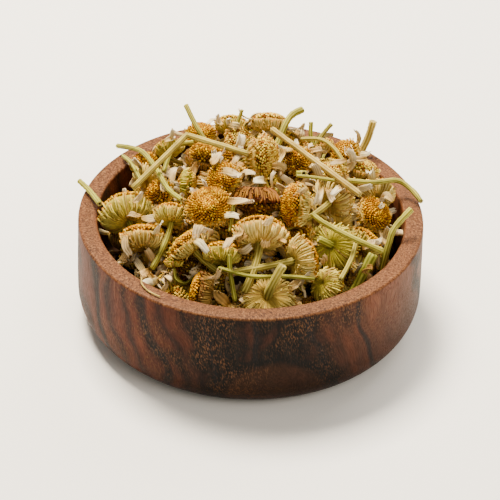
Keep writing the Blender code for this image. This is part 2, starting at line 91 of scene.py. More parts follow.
def oiled_hardwood_finish():
    """Dark figured hardwood under a thin oil: fine upright fibres, black heartwood in front, short pores."""
    finish, tree, shader = new_finish("oiled turned hardwood")
    place = add_node(tree, "TexCoord", {}).outputs["Object"]
    # In millimetres, with the grain leaning a little from upright
    grown = add_node(
        tree, "Mapping", {"Vector": place, "Rotation": (0.1, 0.2, 0), "Scale": (1000, 1000, 1000)}
    ).outputs[0]
    position = add_node(tree, "SeparateXYZ", {0: grown}).outputs
    sway = add_node(tree, "TexNoise", {"Vector": grown, "Scale": 0.045, "Detail": 2.0}).outputs["Color"]
    moved = add_node(
        tree, "VectorMath", {0: sway, 1: (12.0, 12.0, 12.0), 2: grown}, operation="MULTIPLY_ADD"
    ).outputs[0]
    cloud = add_node(tree, "TexNoise", {"Vector": moved, "Scale": 0.10, "Detail": 5.0}).outputs["Fac"]
    # Growth bands about 4 mm apart, soft-edged
    rings = add_node(
        tree, "TexWave",
        {"Vector": moved, "Scale": 0.08, "Distortion": 2.5, "Detail": 4.0, "Detail Scale": 1.5},
    ).outputs["Fac"]
    red = add_node(
        tree, "ValToRGB", {0: rings}, [(0.0, "#240D07"), (0.3, "#3C190D"), (1.0, "#502412")]
    ).outputs[0]
    black = add_node(
        tree, "ValToRGB", {0: rings}, [(0.0, "#010101"), (0.6, "#050403"), (1.0, "#0E0906")]
    ).outputs[0]
    # The right side is paler, nearer to the sapwood
    pale_side = add_node(tree, "MapRange", {0: position[0], 1: 10.0, 2: 36.0, 3: 0.0, 4: 0.8}).outputs[0]
    red = add_node(tree, "Mix", {0: pale_side, 6: red, 7: linear("#633820")}, data_type="RGBA").outputs[2]
    # The black heartwood fills the middle of the front and fades under the rim and to both sides
    aside = add_node(tree, "Math", {0: position[0], 1: -4.0}, operation="ADD").outputs[0]
    aside = add_node(tree, "Math", {0: aside}, operation="ABSOLUTE").outputs[0]
    middle = add_node(tree, "MapRange", {0: aside, 1: 8.0, 2: 29.0, 3: 1.25, 4: -0.3}).outputs[0]
    low = add_node(tree, "MapRange", {0: position[2], 1: 12.0, 2: 25.0, 3: 0.0, 4: -0.25}).outputs[0]
    cloudy = add_node(tree, "MapRange", {0: cloud, 1: 0.35, 2: 0.65, 3: -0.5, 4: 0.5}).outputs[0]
    dark = add_node(tree, "Math", {0: middle, 1: low}, operation="ADD").outputs[0]
    dark = add_node(tree, "Math", {0: dark, 1: cloudy}, operation="ADD", use_clamp=True).outputs[0]
    body = add_node(tree, "Mix", {0: dark, 6: red, 7: black}, data_type="RGBA").outputs[2]
    # Blue-black streaks along the grain, every 12 mm or so
    streak_and_pleat_shade = add_node(
        tree, "TexWave",
        {"Vector": moved, "Scale": 0.027, "Distortion": 1.5, "Detail": 3.0, "Detail Scale": 1.3},
    ).outputs["Fac"]
    streak_and_pleat_shade = add_node(tree, "MapRange", {0: streak_and_pleat_shade, 1: 0.0, 2: 0.06, 3: 0.9, 4: 0.0}).outputs[0]
    body = add_node(tree, "Mix", {0: streak_and_pleat_shade, 6: body, 7: linear("#080A0D")}, data_type="RGBA").outputs[2]
    # One dark growth line stands as an arch, about 24 mm wide, low on the front and back
    across = add_node(
        tree, "Mapping", {"Vector": grown, "Location": (-0.85, 0, 0), "Scale": (0.105, 0, 0.11)}
    ).outputs[0]
    ragged = add_node(
        tree, "VectorMath", {0: sway, 1: (0.5, 0.0, 0.5), 2: across}, operation="MULTIPLY_ADD"
    ).outputs[0]
    reach = add_node(tree, "VectorMath", {0: ragged}, operation="LENGTH").outputs["Value"]
    warm = add_node(tree, "MapRange", {0: reach, 1: 1.0, 2: 1.2, 3: 0.5, 4: 0.0}).outputs[0]
    body = add_node(tree, "Mix", {0: warm, 6: body, 7: linear("#40230F")}, data_type="RGBA").outputs[2]
    arch = add_node(tree, "Math", {0: reach, 1: -1.25}, operation="ADD").outputs[0]
    arch = add_node(tree, "Math", {0: arch}, operation="ABSOLUTE").outputs[0]
    arch = add_node(tree, "MapRange", {0: arch, 1: 0.03, 2: 0.12, 3: 0.95, 4: 0.0}).outputs[0]
    body = add_node(tree, "Mix", {0: arch, 6: body, 7: linear("#040404")}, data_type="RGBA").outputs[2]
    # Fibre bundles 0.25 mm wide and about 3 mm long; single fibres are too fine to show
    drawn = add_node(tree, "Mapping", {"Vector": moved, "Scale": (4.0, 4.0, 0.35)}).outputs[0]
    fibre = add_node(tree, "TexNoise", {"Vector": drawn, "Scale": 1.0, "Detail": 3.0}).outputs["Fac"]
    tone = add_node(tree, "MapRange", {0: fibre, 1: 0.3, 2: 0.7, 3: 0.6, 4: 1.45}).outputs[0]
    body = add_node(tree, "VectorMath", {0: body, 3: tone}, operation="SCALE").outputs[0]
    # Pores: golden flecks 0.25 mm wide and 0.7 mm long, slanting up to the right
    slanted = add_node(
        tree, "Mapping", {"Vector": grown, "Rotation": (0, 0.9, 0), "Scale": (3.2, 3.2, 1.1)}
    ).outputs[0]
    fleck = add_node(tree, "TexNoise", {"Vector": slanted, "Scale": 1.25, "Detail": 4.0}).outputs["Fac"]
    patchy = add_node(tree, "MapRange", {0: cloud, 1: 0.42, 2: 0.60, 3: 0.10, 4: 0.8}).outputs[0]
    pale = add_node(tree, "MapRange", {0: fleck, 1: 0.50, 2: 0.68, 3: 0.0, 4: 1.0}).outputs[0]
    pale = add_node(tree, "Math", {0: pale, 1: patchy}, operation="MULTIPLY").outputs[0]
    body = add_node(tree, "Mix", {0: pale, 6: body, 7: linear("#6C4526")}, data_type="RGBA").outputs[2]
    # Painted shade near the floor: the wall is darkened towards the foot
    painted_foot_shade = add_node(tree, "MapRange", {0: position[2], 1: 1.0, 2: 15.0, 3: 0.4, 4: 1.0}).outputs[0]
    body = add_node(tree, "VectorMath", {0: body, 3: painted_foot_shade}, operation="SCALE").outputs[0]
    # The rim's face is end grain in part, with short dark pores, and is painted paler as painted light on its
    # flat top
    height = add_node(tree, "SeparateXYZ", {0: place}).outputs[2]
    edge_height = (BOWL_HEIGHT - EASED_EDGE) * MM
    face_height = (BOWL_HEIGHT - 0.1) * MM
    face = add_node(
        tree, "MapRange", {0: height, 1: edge_height, 2: face_height, 3: 0.0, 4: 0.85}
    ).outputs[0]
    speck = add_node(tree, "TexNoise", {"Vector": drawn, "Scale": 0.7, "Detail": 4.0}).outputs["Fac"]
    rim_grain_and_painted_light = add_node(
        tree, "ValToRGB", {0: speck},
        [(0.30, "#2A170C"), (0.44, "#52311A"), (0.56, "#6C4426"), (0.7, "#885F3C")],
    ).outputs[0]
    body = add_node(tree, "Mix", {0: face, 6: body, 7: rim_grain_and_painted_light}, data_type="RGBA").outputs[2]
    tree.links.new(body, shader.inputs["Base Color"])
    rough = add_node(tree, "MapRange", {0: fibre, 1: 0.3, 2: 0.7, 3: 0.65, 4: 0.45}).outputs[0]
    tree.links.new(rough, shader.inputs["Roughness"])
    shader.inputs["IOR"].default_value = 1.5
    shader.inputs["Specular IOR Level"].default_value = 0.1
    bump = add_node(tree, "Bump", {"Height": fibre, "Strength": 0.35, "Distance": 0.0002}).outputs[0]
    tree.links.new(bump, shader.inputs["Normal"])
    return finish


def ring_faces(rows, columns, first=0):
    """Four-cornered faces between rows of points that each go once round."""
    row = np.arange(rows - 1)[:, None] * columns + first
    here = np.arange(columns)[None, :]
    after = (here + 1) % columns
    return np.stack((row + here, row + after, row + columns + after, row + columns + here), -1).reshape(-1, 4)


def make_piece(name, points, faces, finishes, slots=None, marks=None):
    """A mesh in millimetres as a smooth piece that rides with the object, with its finishes and marks."""
    mesh = bpy.data.meshes.new(name)
    mesh.from_pydata((np.asarray(points) * MM).tolist(), [], [list(face) for face in faces])
    for mark, values in (marks or {}).items():
        mesh.attributes.new(mark, "FLOAT", "POINT").data.foreach_set("value", np.asarray(values, np.float32))
    for finish in finishes:
        mesh.materials.append(finish)
    if slots is not None:
        mesh.polygons.foreach_set("material_index", np.asarray(slots, np.int32))
    mesh.shade_smooth()
    piece = bpy.data.objects.new(name, mesh)
    bpy.context.scene.collection.objects.link(piece)
    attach(piece, "root")
    return piece


def arc(radius, height, size, first, last, steps):
    """Points of a rounding about a centre, between two angles in degrees, as radius and height."""
    angles = np.radians(np.linspace(first, last, steps + 1))
    return [(radius + size * math.cos(a), height + size * math.sin(a)) for a in angles]


def turned(profile, segments):
    """Points and faces of a closed turned shape whose profile starts and ends on the axis."""
    ring = np.array(profile[1:-1])
    angles = 2 * math.pi * np.arange(segments) / segments
    x = ring[:, :1] * np.cos(angles)
    y = ring[:, :1] * np.sin(angles)
    z = np.repeat(ring[:, 1:], segments, axis=1)
    points = np.stack((x, y, z), -1).reshape(-1, 3)
    faces = ring_faces(len(ring), segments).tolist()
    low = len(points)
    points = np.vstack((points, (0, 0, profile[0][1]), (0, 0, profile[-1][1])))
    last = (len(ring) - 1) * segments
    for j in range(segments):
        k = (j + 1) % segments
        faces.append([k, j, low])
        faces.append([last + j, last + k, low + 1])
    return points, faces


belly_radius = RIM_RADIUS + BELLY
inner_radius = RIM_RADIUS - RIM_WIDTH
bowl_profile = [(0, 0)]
bowl_profile += [(r, 0) for r in FOOT_RINGS]
bowl_profile += arc(belly_radius - FOOT_ROUNDING, FOOT_ROUNDING, FOOT_ROUNDING, -90, 0, 14)
bowl_profile += [(belly_radius - drawn_in, height) for drawn_in, height in WALL_DRAWN_IN]
bowl_profile += arc(RIM_RADIUS - EASED_EDGE, BOWL_HEIGHT - EASED_EDGE, EASED_EDGE, 0, 90, 6)
bowl_profile += arc(inner_radius + EASED_EDGE, BOWL_HEIGHT - EASED_EDGE, EASED_EDGE, 90, 180, 6)
bowl_profile += [(inner_radius, height) for height in INNER_RINGS]
corner_height = FLOOR_THICKNESS + INNER_ROUNDING
bowl_profile += arc(inner_radius - INNER_ROUNDING, corner_height, INNER_ROUNDING, 0, -90, 8)
bowl_profile += [(0, FLOOR_THICKNESS)]
wood = oiled_hardwood_finish()
bowl_points, bowl_faces = turned(bowl_profile, BOWL_SEGMENTS)
bowl = make_piece("turned_bowl", bowl_points, bowl_faces, [wood])
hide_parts("bowl")


# The imported flowers: what lies under the top layer and shows in its gaps, down to the dark of the bowl,
# where a core mound is coloured dark as painted shade.
# They are the same dried heads, petals and stem bits, so this section makes the shapes that all share.

GOLDEN_ANGLE = math.radians(137.508)
HEAP_TOP = 36.5
HEAP_CENTRE_Y = 6.0
HEAP_FALL = 0.0165
CORE_DEPTH = 11.0
CORE_EDGE = 11.5
BED_HEADS = 78
BED_RADIUS = 3.6
BED_DEPTH = 6.8
BED_LOWEST = 15.8
BIT_COUNT = 230
BIT_DEPTH = 3.5
BIT_LOWEST = 18.6
BIT_CLEARANCE = 3.5
BITS_TO_A_STEM = 6
# A little coarser than on a real head, so that single florets and ribs show in the render
FLORET_PITCH = 0.55
RIB_PITCH = 0.42
FLORET_FLARE = 1.15
RIB_SPREAD = 0.07
PLEAT_DEPTH = 0.10
PETAL_HALF_THICKNESS = 0.035
STEM_SHRINK = 0.88
STEM_RIB_DEPTH = 0.13
STEM_HOLLOW = 0.55
# The outline of a head's underside from its stem to its rim, in parts of its radius: out and up
UNDERSIDE = ((0.10, -0.36), (0.30, -0.48), (0.62, -0.44), (0.88, -0.27), (0.99, -0.02), (1.02, 0.12))


class Gathered:
    """Points, faces and marks of many small shapes that go into one piece."""

    def __init__(self):
        self.points = []
        self.quads = []
        self.triangles = []
        self.quad_slots = []
        self.triangle_slots = []
        self.marks = {"tip": [], "chance": [], "age": []}
        self.count = 0

    def add(self, points, quads, triangles, slot, tip, chance, age):
        """Adds a shape, or many alike, with the slot of its finish and its marks."""
        self.points.append(points)
        self.quads.append(np.asarray(quads, int).reshape(-1, 4) + self.count)
        self.triangles.append(np.asarray(triangles, int).reshape(-1, 3) + self.count)
        self.quad_slots.append(np.full(len(self.quads[-1]), slot))
        self.triangle_slots.append(np.full(len(self.triangles[-1]), slot))
        for mark, values in (("tip", tip), ("chance", chance), ("age", age)):
            self.marks[mark].append(np.broadcast_to(values, len(points)))
        self.count += len(points)

    def add_turned(self, profile, segments, slot, tip, chance, age):
        """Adds a turned shape whose profile starts and ends on the axis."""
        points, faces = turned(profile, segments)
        quads = [face for face in faces if len(face) == 4]
        caps = [face for face in faces if len(face) == 3]
        self.add(points, quads, caps, slot, tip, chance, age)

    def add_moved(self, other, turn, place):
        """Adds another gathering, turned and put in place."""
        for points in other.points:
            self.points.append(points @ turn.T + place)
        self.quads += [faces + self.count for faces in other.quads]
        self.triangles += [faces + self.count for faces in other.triangles]
        self.quad_slots += other.quad_slots
        self.triangle_slots += other.triangle_slots
        for mark, values in other.marks.items():
            self.marks[mark] += values
        self.count += other.count

    def piece(self, name, finishes):
        """Makes the piece out of all that was gathered."""
        faces = np.concatenate(self.quads).tolist() + np.concatenate(self.triangles).tolist()
        slots = np.concatenate(self.quad_slots + self.triangle_slots)
        marks = {mark: np.concatenate(values) for mark, values in self.marks.items()}
        return make_piece(name, np.concatenate(self.points), faces, finishes, slots, marks)


def unit(vectors):
    """Vectors of length one that point the same way."""
    return vectors / np.linalg.norm(vectors, axis=-1, keepdims=True)


def add_florets(heap, draw, start, along, length, width, slot, age):
    """Adds tubular florets: thin four-sided prisms that swell to a blunt, slightly hollow mouth."""
    count = len(start)
    away = unit(np.cross(along, unit(draw.normal(size=(count, 3)))))
    side = np.cross(along, away)
    rings = []
    for share, swell in ((0.0, 0.75), (0.72, 0.72), (1.0, FLORET_FLARE)):
        for quarter in range(4):
            angle = math.pi / 2 * quarter
            offset = (away * math.cos(angle) + side * math.sin(angle)) * (width * swell / 2)[:, None]
            rings.append(start + along * (length * share)[:, None] + offset)
    rings.append(start + along * (length * 0.86)[:, None])
    points = np.stack(rings, 1)
    first = (np.arange(count) * 13)[:, None, None]
    quads = ring_faces(3, 4)[None] + first
    mouth = np.array([[8 + k, 8 + (k + 1) % 4, 12] for k in range(4)])[None] + first
    tip = np.tile(np.repeat([0.0, 0.6, 1.0, 0.8], [4, 4, 4, 1]), count)
    chance = np.repeat(draw.random(count), 13)
    heap.add(points.reshape(-1, 3), quads, mouth, slot, tip, chance, age)


def add_dome(heap, draw, radius, rise, base, slot, age, pitch=FLORET_PITCH, comb=0.9, ragged=0.12):
    """Adds florets over a dome, in the crossing spirals in which they grow, more combed out near the edge."""
    count = int(3.7 * (radius / pitch) ** 2)
    share = np.sqrt((np.arange(count) + 0.5) / count)
    angle = np.arange(count) * GOLDEN_ANGLE
    out = np.stack((np.cos(angle), np.sin(angle), np.zeros(count)), 1)
    top = np.sqrt(1 - (0.97 * share) ** 2)
    surface = out * (radius * 0.97 * share)[:, None]
    surface[:, 2] = radius * (base + rise * top)
    along = out * (share * comb)[:, None]
    along[:, 2] = 0.2 + 0.8 * top
    along = unit(along + draw.normal(scale=0.13, size=(count, 3)))
    length = radius * 0.30 * (1 + draw.normal(scale=ragged, size=count))
    width = np.full(count, pitch * 0.9) * (0.8 + 0.35 * draw.random(count))
    start = surface - along * (length * (0.9 - 0.25 * share))[:, None]
    add_florets(heap, draw, start, along, length, width, slot, age)
    low = base - 0.1
    under = [(0.90 * s, low + rise * 0.85 * math.sqrt(1 - s * s)) for s in (1.0, 0.95, 0.8, 0.55, 0.25)]
    under = [(0.0, low)] + under + [(0.0, low + rise * 0.85)]
    heap.add_turned([(r * radius, z * radius) for r, z in under], 16, slot, 0.0, 0.3, age)


def add_ribs(heap, draw, radius, slot, age, pitch=RIB_PITCH, spikes=70):
    """Adds the outer florets that show as ribs from the stem to the rim, and loose ones among them."""
    count = int(2 * math.pi * radius / pitch)
    path = np.array(UNDERSIDE) * radius
    rows = len(path)
    angle = 2 * math.pi * (np.arange(count) + draw.normal(scale=0.22, size=count)) / count
    step = np.gradient(path, axis=0)
    step = step / np.linalg.norm(step, axis=1, keepdims=True)
    reach = 1 + draw.normal(scale=RIB_SPREAD, size=count)
    lift = draw.normal(scale=RIB_SPREAD, size=count) * radius
    lean = draw.normal(scale=0.05, size=count)
    rings = []
    for k, (far, height) in enumerate(path):
        loose = (far / radius) ** 3
        turned_by = angle + lean * loose
        out = np.stack((np.cos(turned_by), np.sin(turned_by), np.zeros(count)), 1)
        across = np.stack((-np.sin(turned_by), np.cos(turned_by), np.zeros(count)), 1)
        half = math.pi * far / count * (1.05 - 0.25 * loose) * (1.25 if k == rows - 1 else 1.0)
        thick = 0.24 * min(1.0, 0.4 + far / radius)
        middle = out * (far * (1 + (reach - 1) * loose))[:, None]
        middle[:, 2] = height + lift * loose
        outward = out * step[k, 1]
        outward[:, 2] = -step[k, 0]
        for side, raise_by in ((-half, 0.0), (0.0, thick), (half, 0.0), (0.0, -thick)):
            rings.append(middle + across * side + outward * raise_by)
        last_middle = middle - np.array((0, 0, 0.15))
    rings.append(last_middle)
    points = np.stack(rings, 1)
    size = rows * 4 + 1
    first = (np.arange(count) * size)[:, None, None]
    quads = ring_faces(rows, 4)[None] + first
    last = (rows - 1) * 4
    mouth = np.array([[last + k, last + (k + 1) % 4, size - 1] for k in range(4)])[None] + first
    tip = np.tile(np.append(np.repeat(np.linspace(0.0, 1.0, rows), 4), 0.8), count)
    heap.add(points.reshape(-1, 3), quads, mouth, slot, tip, np.repeat(draw.random(count), size), age)
    at = draw.uniform(1.2, rows - 1.1, size=spikes)
    far = np.interp(at, range(rows), path[:, 0])
    turned_by = draw.uniform(0, 2 * math.pi, size=spikes)
    out = np.stack((np.cos(turned_by), np.sin(turned_by), np.zeros(spikes)), 1)
    start = out * far[:, None]
    start[:, 2] = np.interp(at, range(rows), path[:, 1])
    forward = np.stack([np.interp(at, range(rows), step[:, k]) for k in (0, 1)], 1)
    along = out * (forward[:, 0] + 0.45 * forward[:, 1])[:, None]
    along[:, 2] = forward[:, 1] - 0.45 * forward[:, 0]
    along = unit(along + draw.normal(scale=0.16, size=(spikes, 3)))
    length = radius * draw.uniform(0.2, 0.38, size=spikes)
    width = np.full(spikes, 0.32)
    add_florets(heap, draw, start - along * (length * 0.3)[:, None], along, length, width, slot, age)
    cup = [(0.0, -0.30)] + [(r * 0.97, z + 0.03) for r, z in UNDERSIDE] + [(0.0, 0.14)]
    heap.add_turned([(r * radius, z * radius) for r, z in cup], 20, slot, 0.25, 0.3, age)


def add_petal(heap, draw, root, along, up, length, width, curl, slot, age, rows=11, columns=9):
    """Adds one dried ray petal: a papery strap, pleated along its length, crumpled and torn at its end."""
    side = np.cross(up, along)
    fold = draw.uniform(-1.6, 1.6)
    twist = draw.uniform(-1.3, 1.3)
    wave = draw.uniform(0, 2 * math.pi)
    kink = draw.uniform(-0.9, 0.9)
    kink_at = draw.uniform(0.35, 0.7)
    pleats = draw.uniform(2.5, 4.0)
    torn = draw.normal(scale=0.10, size=columns)
    point = np.array(root, float)
    top = []
    bottom = []
    for i in range(rows):
        share = i / (rows - 1)
        bend = curl * share ** 1.5 + 0.35 * math.sin(wave + 6 * share) + (kink if share > kink_at else 0.0)
        forward = along * math.cos(bend) + up * math.sin(bend)
        over = up * math.cos(bend) - along * math.sin(bend)
        turn = twist * share
        across = side * math.cos(turn) + over * math.sin(turn)
        over = over * math.cos(turn) - side * math.sin(turn)
        half = width / 2 * (0.30 + 0.70 * math.sin(math.pi * min(share * 0.66 + 0.14, 1.0)))
        for j in range(columns):
            v = j / (columns - 1) * 2 - 1
            crease = PLEAT_DEPTH * width * math.cos(pleats * math.pi * v + wave + 0.8 * math.sin(5 * share))
            cup = fold * 0.30 * width * v * v
            spot = point + across * v * half * (1 - 0.12 * abs(fold)) + over * (crease + cup)
            spot = spot + forward * length * torn[j] * max(share - 0.6, 0.0)
            spot = spot + over * draw.normal(scale=0.022 * width)
            top.append(spot + over * PETAL_HALF_THICKNESS)
            bottom.append(spot - over * PETAL_HALF_THICKNESS)
        point = point + forward * length / (rows - 1)
    size = rows * columns
    grid = (np.arange(rows - 1)[:, None] * columns + np.arange(columns - 1)[None]).reshape(-1)
    over_side = np.stack((grid, grid + columns, grid + columns + 1, grid + 1), 1)
    quads = np.concatenate((over_side, over_side[:, ::-1] + size))
    rim = [i * columns for i in range(rows)] + [size - columns + j for j in range(1, columns)]
    rim += [i * columns + columns - 1 for i in range(rows - 2, -1, -1)] + list(range(columns - 2, 0, -1))
    rim = np.array(rim)
    after = np.roll(rim, -1)
    quads = np.concatenate((quads, np.stack((after, rim, rim + size, after + size), 1)))
    tip = np.tile(np.repeat(np.linspace(0, 1, rows), columns), 2)
    # The pleat pattern across the petal, which the petal finish turns into painted shade in the folds and
    # painted light on the ridges
    streak_and_pleat_shade = np.tile(np.tile(np.cos(pleats * math.pi * np.linspace(-1, 1, columns)), rows), 2)
    heap.add(np.array(top + bottom), quads, [], slot, tip, 0.5 + 0.5 * streak_and_pleat_shade, age)


def add_stem(heap, draw, path, thickness, slot, age, sides=14):
    """Adds a dried stem: ribbed and shrunken along its length, with a hollow at each cut end."""
    path = np.asarray(path, float)
    thickness = thickness * STEM_SHRINK
    step = unit(np.gradient(path, axis=0))
    across = unit(np.cross(step[0], (0.31, 0.22, 0.92)))
    rows = []
    swell = draw.normal(scale=0.05, size=len(path))
    angles = 2 * math.pi * np.arange(sides) / sides
    ribs = 1 + STEM_RIB_DEPTH * np.where(np.arange(sides) % 2, 1, -1) * (0.6 + 0.4 * draw.random(sides))
    for i, point in enumerate(path):
        across = unit(across - step[i] * (across @ step[i]))
        side = np.cross(step[i], across)
        radius = thickness / 2 * (1 + swell[i]) * ribs
        ring = across[None] * np.cos(angles)[:, None]
        ring = ring + side[None] * np.sin(angles)[:, None]
        rows.append(point + ring * radius[:, None])
    inner = []
    for end, sign in ((0, 1), (len(path) - 1, -1)):
        centre = path[end]
        shrunk = centre + (rows[end] - centre) * STEM_HOLLOW
        inner.append((shrunk, centre + step[end] * sign * thickness * 0.5))
    first_inner, first_deep = inner[0]
    last_inner, last_deep = inner[1]
    first_sunk = first_inner + step[0] * thickness * 0.7
    last_sunk = last_inner - step[-1] * thickness * 0.7
    stack = [first_sunk, first_inner] + rows + [last_inner, last_sunk]
    points = np.concatenate(stack)
    quads = ring_faces(len(stack), sides)
    points = np.vstack((points, first_deep, last_deep))
    low = len(points) - 2
    high = (len(stack) - 1) * sides
    caps = []
    for j in range(sides):
        k = (j + 1) % sides
        caps.append((k, j, low))
        caps.append((high + j, high + k, low + 1))
    # The tip mark is 0.9 on the cut faces and 1.0 at the bottom of each hollow, where the stem finish paints
    # shade
    along = np.concatenate(([1.0, 0.9], np.linspace(0.0, 0.4, len(path)), [0.9, 1.0]))
    tip = np.append(np.repeat(along, sides), (1.0, 1.0))
    ridge = np.append(np.tile(np.where(np.arange(sides) % 2, 1.0, 0.0), len(stack)), (0.5, 0.5))
    heap.add(points, quads, caps, slot, tip, ridge, age)


def new_dried_finish(name):
    """An empty finish for dried plant matter, and the marks that its mesh carries: tip, chance and age."""
    finish, tree, shader = new_finish(name)
    marks = [
        add_node(tree, "Attribute", {}, attribute_name=mark).outputs["Fac"]
        for mark in ("tip", "chance", "age")
    ]
    return finish, tree, shader, *marks


def drying_patches(tree, per_metre, detail, softness, darkest, lightest):
    """A tone that varies in soft patches, so many to the metre: 420 is one each 2.4 mm."""
    place = add_node(tree, "TexCoord", {}).outputs["Object"]
    patch = add_node(
        tree, "TexNoise", {"Vector": place, "Scale": per_metre, "Detail": detail}
    ).outputs["Fac"]
    return add_node(
        tree, "MapRange",
        {0: patch, 1: 0.5 - softness, 2: 0.5 + softness, 3: darkest, 4: lightest},
    ).outputs[0]


def set_surface(tree, shader, body, roughness, ior, gloss):
    """Links the colour, and sets the roughness, IOR and specular level on the shader itself."""
    tree.links.new(body, shader.inputs["Base Color"])
    shader.inputs["Roughness"].default_value = roughness
    shader.inputs["IOR"].default_value = ior
    shader.inputs["Specular IOR Level"].default_value = gloss


def dried_florets_finish():
    """Outer florets seen from the side: papery, dull, green to cream, with orange to brown mouths."""
    finish, tree, shader, tip, chance, age = new_dried_finish("dried outer florets")
    green = add_node(
        tree, "ValToRGB", {0: tip},
        [(0.0, "#8A8218"), (0.35, "#B8AA32"), (0.8, "#DCCC54"), (0.93, "#D8A22C"), (1.0, "#844410")],
    ).outputs[0]
    cream = add_node(
        tree, "ValToRGB", {0: tip},
        [(0.0, "#A88834"), (0.35, "#D4B252"), (0.8, "#F0D880"), (0.93, "#E0A436"), (1.0, "#8C4814")],
    ).outputs[0]
    brown = add_node(
        tree, "ValToRGB", {0: tip},
        [(0.0, "#3A2412"), (0.35, "#6A3F1A"), (0.7, "#9A6A24"), (0.9, "#6E3418"), (1.0, "#47201A")],
    ).outputs[0]
    half = add_node(tree, "MapRange", {0: age, 1: 0.0, 2: 0.5, 3: 0.0, 4: 1.0}).outputs[0]
    rest = add_node(tree, "MapRange", {0: age, 1: 0.55, 2: 1.0, 3: 0.0, 4: 1.0}).outputs[0]
    body = add_node(tree, "Mix", {0: half, 6: green, 7: cream}, data_type="RGBA").outputs[2]
    body = add_node(tree, "Mix", {0: rest, 6: body, 7: brown}, data_type="RGBA").outputs[2]
    # Each floret dries to its own tone, and some shrivel to maroon
    tone = add_node(tree, "MapRange", {0: chance, 1: 0.0, 2: 1.0, 3: 0.68, 4: 1.15}).outputs[0]
    patch = drying_patches(tree, 420.0, 3.0, 0.2, 0.65, 1.15)
    tone = add_node(tree, "Math", {0: tone, 1: patch}, operation="MULTIPLY").outputs[0]
    body = add_node(tree, "VectorMath", {0: body, 3: tone}, operation="SCALE").outputs[0]
    shrivelled = add_node(tree, "MapRange", {0: chance, 1: 0.90, 2: 0.93, 3: 0.0, 4: 0.6}).outputs[0]
    body = add_node(
        tree, "Mix", {0: shrivelled, 6: body, 7: linear("#7A4A34")}, data_type="RGBA"
    ).outputs[2]
    set_surface(tree, shader, body, 0.8, 1.45, 0.12)
    return finish


def dried_disc_finish():
    """Tops of the disc florets: dry granules with golden mouths, cream where pale and brown where old."""
    finish, tree, shader, tip, chance, age = new_dried_finish("dried disc florets")
    pale = add_node(
        tree, "ValToRGB", {0: chance},
        [(0.0, "#7C3A18"), (0.14, "#A87228"), (0.3, "#CDAA44"), (0.8, "#E0C65C"), (1.0, "#E8CC3C")],
    ).outputs[0]
    golden = add_node(
        tree, "ValToRGB", {0: chance},
        [(0.0, "#8A5000"), (0.35, "#B27600"), (0.75, "#CE9200"), (1.0, "#E2B200")],
    ).outputs[0]
    brown = add_node(
        tree, "ValToRGB", {0: chance},
        [(0.0, "#2A1908"), (0.5, "#6A480C"), (0.8, "#A87C08"), (1.0, "#DCB010")],
    ).outputs[0]
    half = add_node(tree, "MapRange", {0: age, 1: 0.0, 2: 0.5, 3: 0.0, 4: 1.0}).outputs[0]
    rest = add_node(tree, "MapRange", {0: age, 1: 0.5, 2: 1.0, 3: 0.0, 4: 1.0}).outputs[0]
    body = add_node(tree, "Mix", {0: half, 6: pale, 7: golden}, data_type="RGBA").outputs[2]
    body = add_node(tree, "Mix", {0: rest, 6: body, 7: brown}, data_type="RGBA").outputs[2]
    # Painted shade: the sides of the tubes are darkened towards their bases, down among the florets
    painted_depth_shade = add_node(tree, "MapRange", {0: tip, 1: 0.0, 2: 0.95, 3: 0.30, 4: 1.0}).outputs[0]
    patch = drying_patches(tree, 330.0, 3.0, 0.15, 0.7, 1.15)
    tone = add_node(tree, "Math", {0: painted_depth_shade, 1: patch}, operation="MULTIPLY").outputs[0]
    body = add_node(tree, "VectorMath", {0: body, 3: tone}, operation="SCALE").outputs[0]
    set_surface(tree, shader, body, 0.85, 1.45, 0.08)
    return finish


def dried_petal_finish():
    """Ray petals: papery, straw at the root and pale towards the end, with painted shade in the folds of the
    pleats and painted light on their ridges.
    """
    finish, tree, shader, tip, ridge, age = new_dried_finish("dried ray petals")
    white = add_node(
        tree, "ValToRGB", {0: tip}, [(0.0, "#B8903C"), (0.35, "#E4CC8C"), (1.0, "#F6EAC8")]
    ).outputs[0]
    tan = add_node(
        tree, "ValToRGB", {0: tip}, [(0.0, "#906422"), (0.35, "#BC8A3E"), (1.0, "#D2A860")]
    ).outputs[0]
    body = add_node(tree, "Mix", {0: age, 6: white, 7: tan}, data_type="RGBA").outputs[2]
    # Painted shade and light: the folds of the pleats are darkened and their ridges lightened
    painted_pleat_light_and_shade = add_node(tree, "MapRange", {0: ridge, 1: 0.0, 2: 1.0, 3: 0.55, 4: 1.05}).outputs[0]
    patch = drying_patches(tree, 380.0, 4.0, 0.2, 0.75, 1.08)
    tone = add_node(tree, "Math", {0: painted_pleat_light_and_shade, 1: patch}, operation="MULTIPLY").outputs[0]
    body = add_node(tree, "VectorMath", {0: body, 3: tone}, operation="SCALE").outputs[0]
    set_surface(tree, shader, body, 0.65, 1.4, 0.15)
    shader.inputs["Subsurface Weight"].default_value = 0.05
    shader.inputs["Subsurface Radius"].default_value = (0.0008, 0.0006, 0.0003)
    shader.inputs["Subsurface Scale"].default_value = 1.0
    return finish


